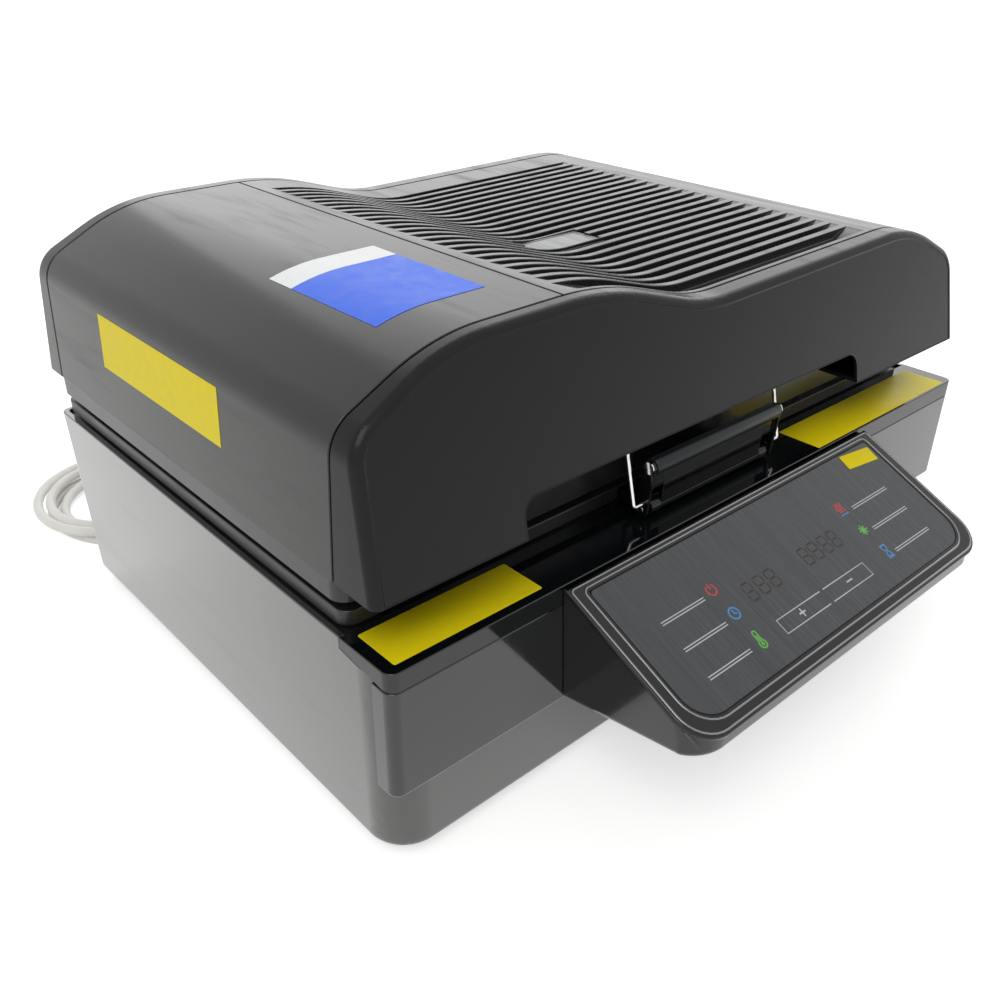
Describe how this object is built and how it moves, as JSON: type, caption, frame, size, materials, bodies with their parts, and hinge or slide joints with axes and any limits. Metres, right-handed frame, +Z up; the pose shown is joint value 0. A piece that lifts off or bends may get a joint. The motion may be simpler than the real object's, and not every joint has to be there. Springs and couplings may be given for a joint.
{
  "type": "vacuum heat press",
  "caption": "Benchtop 3-D vacuum sublimation heat press: hinged ribbed lid with heater, membrane frame with wire latch, vacuum tray and a sloping touch control box.",
  "frame": {"origin": "middle of the footprint box of the machine without its cord, on the surface it stands on", "axes": "+Z up, the operator stands on -Y facing +Y, +X to the operator's right"},
  "size_m": [0.6727, 0.7855, 0.3388],
  "materials": {
    "shell_black": "gloss black moulding",
    "ledge_black": "polished black",
    "bezel_black": "polished black",
    "lid_black": "semi-gloss black moulding",
    "touch_film": "dark brushed film",
    "board_green": "solder mask",
    "display_dark": "dark",
    "rubber_black": "matt",
    "screw_steel": "zinc plated",
    "badge_silver": "bright",
    "tray_paint": "satin black paint",
    "reflector_aluminium": "bright",
    "insulation_wool": "mineral wool",
    "quartz_glass": "frosted quartz",
    "ceramic_white": "ceramic",
    "grille_steel": "perforated sheet",
    "motor_paint": "dark grey paint",
    "wheel_aluminium": "sheet",
    "deck_paint": "satin black paint",
    "tray_steel": "stainless sheet",
    "seal_silicone": "red silicone",
    "frame_paint": "satin black paint",
    "membrane_silicone": "translucent silicone",
    "clamp_aluminium": "strip",
    "hinge_paint": "black",
    "pin_steel": "ground",
    "latch_black": "gloss black paint",
    "grip_black": "semi-matt",
    "wire_chrome": "bright",
    "pump_aluminium": "cast",
    "hose_silicone": "silicone hose",
    "valve_brass": "machined",
    "fan_plastic": "black",
    "rocker_red": "red",
    "cord_cream": "cream sheath"
  },
  "bodies": {
    "base": {"base_shell": "shell_black", "front_panel": "shell_black", "front_ledge": "ledge_black", "rubber_feet": "rubber_black", "case_screws": "screw_steel", "control_box": "shell_black", "control_bezel": "bezel_black", "touch_panel": "touch_film", "display_board": "board_green", "digit_displays": "display_dark", "deck_plate": "deck_paint", "vacuum_tray": "tray_steel", "tray_platform": "tray_steel", "tray_seal": "seal_silicone", "pump_motor": "motor_paint", "pump_head": "pump_aluminium", "pump_mounts": "rubber_black", "suction_hose": "hose_silicone", "release_valve": "valve_brass", "control_board": "board_green", "board_components": "display_dark", "cooling_fan_frame": "fan_plastic", "fan_guard": "fan_plastic", "mains_switch_body": "fan_plastic", "cable_gland": "fan_plastic", "mains_cord": "cord_cream", "mains_cord_coil": "cord_cream", "mains_plug": "cord_cream", "hinge_brackets": "hinge_paint", "hinge_pins": "pin_steel"},
    "membrane_frame": {"frame_ring": "frame_paint", "silicone_membrane": "membrane_silicone", "membrane_clamp": "clamp_aluminium", "clamp_screws": "screw_steel", "frame_hinge_arms": "hinge_paint", "latch_bracket": "latch_black", "latch_pin": "pin_steel"},
    "lid": {"lid_tray": "tray_paint", "lid_left_panel": "lid_black", "lid_top_panel": "lid_black", "lid_front_cap": "lid_black", "lid_rear_cap": "lid_black", "lid_badge": "badge_silver", "heat_reflector": "reflector_aluminium", "insulation": "insulation_wool", "heating_tubes": "quartz_glass", "tube_holders": "ceramic_white", "guard_grille": "grille_steel", "thermocouple": "screw_steel", "circulation_fan_motors": "motor_paint", "lid_screws": "screw_steel", "lid_hinge_arms": "hinge_paint"},
    "latch_lever": {"latch_lever": "latch_black", "latch_grip": "grip_black", "grip_screws": "wire_chrome"},
    "latch_bail": {"latch_bail": "wire_chrome"},
    "circulation_fan_front": {"fan_wheel_front": "wheel_aluminium"},
    "circulation_fan_rear": {"fan_wheel_rear": "wheel_aluminium"},
    "cooling_fan": {"cooling_fan_rotor": "fan_plastic"},
    "mains_rocker": {"mains_switch_rocker": "rocker_red"}
  },
  "joints": [
    {"name": "frame_hinge", "type": "hinge", "parent": "base", "child": "membrane_frame", "pos_m": [0, 0.29986, 0.178], "axis": [-1, 0, 0], "range_deg": [0, 30]},
    {"name": "lid_hinge", "type": "hinge", "parent": "membrane_frame", "child": "lid", "pos_m": [0, 0.29986, 0.178], "axis": [-1, 0, 0], "range_deg": [0, 50]},
    {"name": "latch_lever_pivot", "type": "hinge", "parent": "membrane_frame", "child": "latch_lever", "pos_m": [-0.014, -0.16214, 0.1745], "axis": [1, 0, 0], "range_deg": [0, 75]},
    {"name": "latch_bail_pivot", "type": "hinge", "parent": "latch_lever", "child": "latch_bail", "pos_m": [-0.014, -0.16464, 0.181], "axis": [1, 0, 0], "range_deg": [0, 45]},
    {"name": "front_wheel_spin", "type": "hinge", "parent": "lid", "child": "circulation_fan_front", "pos_m": [-0.232, -0.00914, 0.24], "axis": [0, 0, 1], "continuous": true},
    {"name": "rear_wheel_spin", "type": "hinge", "parent": "lid", "child": "circulation_fan_rear", "pos_m": [-0.232, 0.14086, 0.24], "axis": [0, 0, 1], "continuous": true},
    {"name": "cooling_fan_spin", "type": "hinge", "parent": "base", "child": "cooling_fan", "pos_m": [-0.04, 0.27147, 0.08579], "axis": [0, 0.9978, -0.0659], "continuous": true},
    {"name": "mains_rocker_tilt", "type": "hinge", "parent": "base", "child": "mains_rocker", "pos_m": [0.23, 0.27896, 0.0853], "axis": [1, 0, 0], "range_deg": [-3, 3]}
  ]
}
